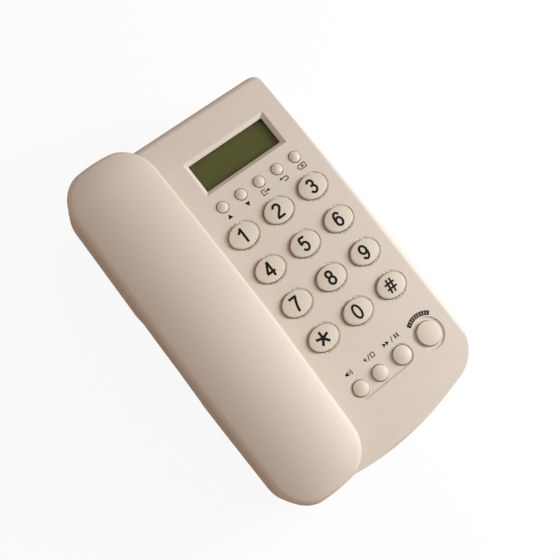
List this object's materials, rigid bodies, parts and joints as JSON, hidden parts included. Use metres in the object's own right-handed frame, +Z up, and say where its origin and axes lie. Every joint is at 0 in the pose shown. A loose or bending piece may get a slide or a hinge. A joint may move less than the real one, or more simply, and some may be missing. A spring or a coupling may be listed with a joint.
{
  "type": "corded desk telephone",
  "caption": "Corded desk telephone: a wedge-shaped base with a small display, oval keys and round buttons, and a long handset resting in a cradle on the left.",
  "frame": {"origin": "middle of the footprint, on the table under the rubber feet", "axes": "+X to the user's right, +Y to the rear, +Z up"},
  "size_m": [0.1241, 0.1859, 0.0657],
  "materials": {
    "casing_cream": "satin",
    "underside_cream": "matt",
    "key_cream": "satin",
    "clear_window": "polished",
    "lcd_olive": "satin",
    "board_green": "satin",
    "mat_rubber": "matt",
    "black_rubber": "matt",
    "black_plastic": "satin",
    "steel": "plated"
  },
  "bodies": {
    "base": {"base_top_case": "casing_cream", "base_bottom_case": "underside_cream", "display_window": "clear_window", "lcd_panel": "lcd_olive", "lcd_frame": "black_plastic", "main_board": "board_green", "keypad_mat": "mat_rubber", "hook_switch": "black_plastic", "loudspeaker": "steel", "loudspeaker_clamp": "steel", "line_socket": "black_plastic", "base_cord_socket": "black_plastic", "ballast_plate": "steel", "case_screws": "steel", "board_screws": "steel", "clamp_screws": "steel", "rubber_feet": "black_rubber"},
    "handset": {"handset_outer_shell": "casing_cream", "handset_inner_shell": "casing_cream", "receiver_capsule": "steel", "receiver_gasket": "black_rubber", "microphone_capsule": "steel", "microphone_boot": "black_rubber", "handset_cord_socket": "black_plastic", "handset_weight": "steel", "handset_screws": "steel"},
    "key_1": {"key_1": "key_cream"},
    "key_2": {"key_2": "key_cream"},
    "key_3": {"key_3": "key_cream"},
    "key_4": {"key_4": "key_cream"},
    "key_5": {"key_5": "key_cream"},
    "key_6": {"key_6": "key_cream"},
    "key_7": {"key_7": "key_cream"},
    "key_8": {"key_8": "key_cream"},
    "key_9": {"key_9": "key_cream"},
    "key_star": {"key_star": "key_cream"},
    "key_0": {"key_0": "key_cream"},
    "key_hash": {"key_hash": "key_cream"},
    "button_up": {"button_up": "key_cream"},
    "button_down": {"button_down": "key_cream"},
    "button_out": {"button_out": "key_cream"},
    "button_back": {"button_back": "key_cream"},
    "button_delete": {"button_delete": "key_cream"},
    "button_volume": {"button_volume": "key_cream"},
    "button_flash": {"button_flash": "key_cream"},
    "button_redial": {"button_redial": "key_cream"},
    "button_speaker": {"button_speaker": "key_cream"},
    "hook_plunger": {"hook_plunger": "key_cream"}
  },
  "joints": [
    {"name": "handset_lift", "type": "slide", "parent": "base", "child": "handset", "axis": [0, -0.1478, 0.989], "range_m": [0, 0.06]},
    {"name": "hook_rise", "type": "slide", "parent": "base", "child": "hook_plunger", "axis": [0, -0.1478, 0.989], "range_m": [0, 0.004], "stiffness_N_per_m": 100, "springref_m": 0.008},
    {"name": "key_1_press", "type": "slide", "parent": "base", "child": "key_1", "axis": [0, 0.1132, -0.9936], "range_m": [0, 0.0015], "stiffness_N_per_m": 400, "springref_m": -0.0007, "deforming": ["keypad_mat"]},
    {"name": "key_2_press", "type": "slide", "parent": "base", "child": "key_2", "axis": [0, 0.1132, -0.9936], "range_m": [0, 0.0015], "stiffness_N_per_m": 400, "springref_m": -0.0007, "deforming": ["keypad_mat"]},
    {"name": "key_3_press", "type": "slide", "parent": "base", "child": "key_3", "axis": [0, 0.1132, -0.9936], "range_m": [0, 0.0015], "stiffness_N_per_m": 400, "springref_m": -0.0007, "deforming": ["keypad_mat"]},
    {"name": "key_4_press", "type": "slide", "parent": "base", "child": "key_4", "axis": [0, 0.1132, -0.9936], "range_m": [0, 0.0015], "stiffness_N_per_m": 400, "springref_m": -0.0007, "deforming": ["keypad_mat"]},
    {"name": "key_5_press", "type": "slide", "parent": "base", "child": "key_5", "axis": [0, 0.1132, -0.9936], "range_m": [0, 0.0015], "stiffness_N_per_m": 400, "springref_m": -0.0007, "deforming": ["keypad_mat"]},
    {"name": "key_6_press", "type": "slide", "parent": "base", "child": "key_6", "axis": [0, 0.1132, -0.9936], "range_m": [0, 0.0015], "stiffness_N_per_m": 400, "springref_m": -0.0007, "deforming": ["keypad_mat"]},
    {"name": "key_7_press", "type": "slide", "parent": "base", "child": "key_7", "axis": [0, 0.1132, -0.9936], "range_m": [0, 0.0015], "stiffness_N_per_m": 400, "springref_m": -0.0007, "deforming": ["keypad_mat"]},
    {"name": "key_8_press", "type": "slide", "parent": "base", "child": "key_8", "axis": [0, 0.1132, -0.9936], "range_m": [0, 0.0015], "stiffness_N_per_m": 400, "springref_m": -0.0007, "deforming": ["keypad_mat"]},
    {"name": "key_9_press", "type": "slide", "parent": "base", "child": "key_9", "axis": [0, 0.1132, -0.9936], "range_m": [0, 0.0015], "stiffness_N_per_m": 400, "springref_m": -0.0007, "deforming": ["keypad_mat"]},
    {"name": "key_star_press", "type": "slide", "parent": "base", "child": "key_star", "axis": [0, 0.1132, -0.9936], "range_m": [0, 0.0015], "stiffness_N_per_m": 400, "springref_m": -0.0007, "deforming": ["keypad_mat"]},
    {"name": "key_0_press", "type": "slide", "parent": "base", "child": "key_0", "axis": [0, 0.1132, -0.9936], "range_m": [0, 0.0015], "stiffness_N_per_m": 400, "springref_m": -0.0007, "deforming": ["keypad_mat"]},
    {"name": "key_hash_press", "type": "slide", "parent": "base", "child": "key_hash", "axis": [0, 0.1132, -0.9936], "range_m": [0, 0.0015], "stiffness_N_per_m": 400, "springref_m": -0.0007, "deforming": ["keypad_mat"]},
    {"name": "button_up_press", "type": "slide", "parent": "base", "child": "button_up", "axis": [0, 0.1132, -0.9936], "range_m": [0, 0.0011], "stiffness_N_per_m": 400, "springref_m": -0.0007, "deforming": ["keypad_mat"]},
    {"name": "button_down_press", "type": "slide", "parent": "base", "child": "button_down", "axis": [0, 0.1132, -0.9936], "range_m": [0, 0.0011], "stiffness_N_per_m": 400, "springref_m": -0.0007, "deforming": ["keypad_mat"]},
    {"name": "button_out_press", "type": "slide", "parent": "base", "child": "button_out", "axis": [0, 0.1132, -0.9936], "range_m": [0, 0.0011], "stiffness_N_per_m": 400, "springref_m": -0.0007, "deforming": ["keypad_mat"]},
    {"name": "button_back_press", "type": "slide", "parent": "base", "child": "button_back", "axis": [0, 0.1132, -0.9936], "range_m": [0, 0.0011], "stiffness_N_per_m": 400, "springref_m": -0.0007, "deforming": ["keypad_mat"]},
    {"name": "button_delete_press", "type": "slide", "parent": "base", "child": "button_delete", "axis": [0, 0.1132, -0.9936], "range_m": [0, 0.0011], "stiffness_N_per_m": 400, "springref_m": -0.0007, "deforming": ["keypad_mat"]},
    {"name": "button_volume_press", "type": "slide", "parent": "base", "child": "button_volume", "axis": [0, 0.1132, -0.9936], "range_m": [0, 0.0011], "stiffness_N_per_m": 400, "springref_m": -0.0007, "deforming": ["keypad_mat"]},
    {"name": "button_flash_press", "type": "slide", "parent": "base", "child": "button_flash", "axis": [0, 0.1132, -0.9936], "range_m": [0, 0.0011], "stiffness_N_per_m": 400, "springref_m": -0.0007, "deforming": ["keypad_mat"]},
    {"name": "button_redial_press", "type": "slide", "parent": "base", "child": "button_redial", "axis": [0, 0.1132, -0.9936], "range_m": [0, 0.0011], "stiffness_N_per_m": 400, "springref_m": -0.0007, "deforming": ["keypad_mat"]},
    {"name": "button_speaker_press", "type": "slide", "parent": "base", "child": "button_speaker", "axis": [0, 0.1132, -0.9936], "range_m": [0, 0.0011], "stiffness_N_per_m": 400, "springref_m": -0.0007, "deforming": ["keypad_mat"]}
  ],
  "couplings": [
    {"joint": "hook_rise", "follows": "handset_lift", "ratio": 0.0666}
  ]
}
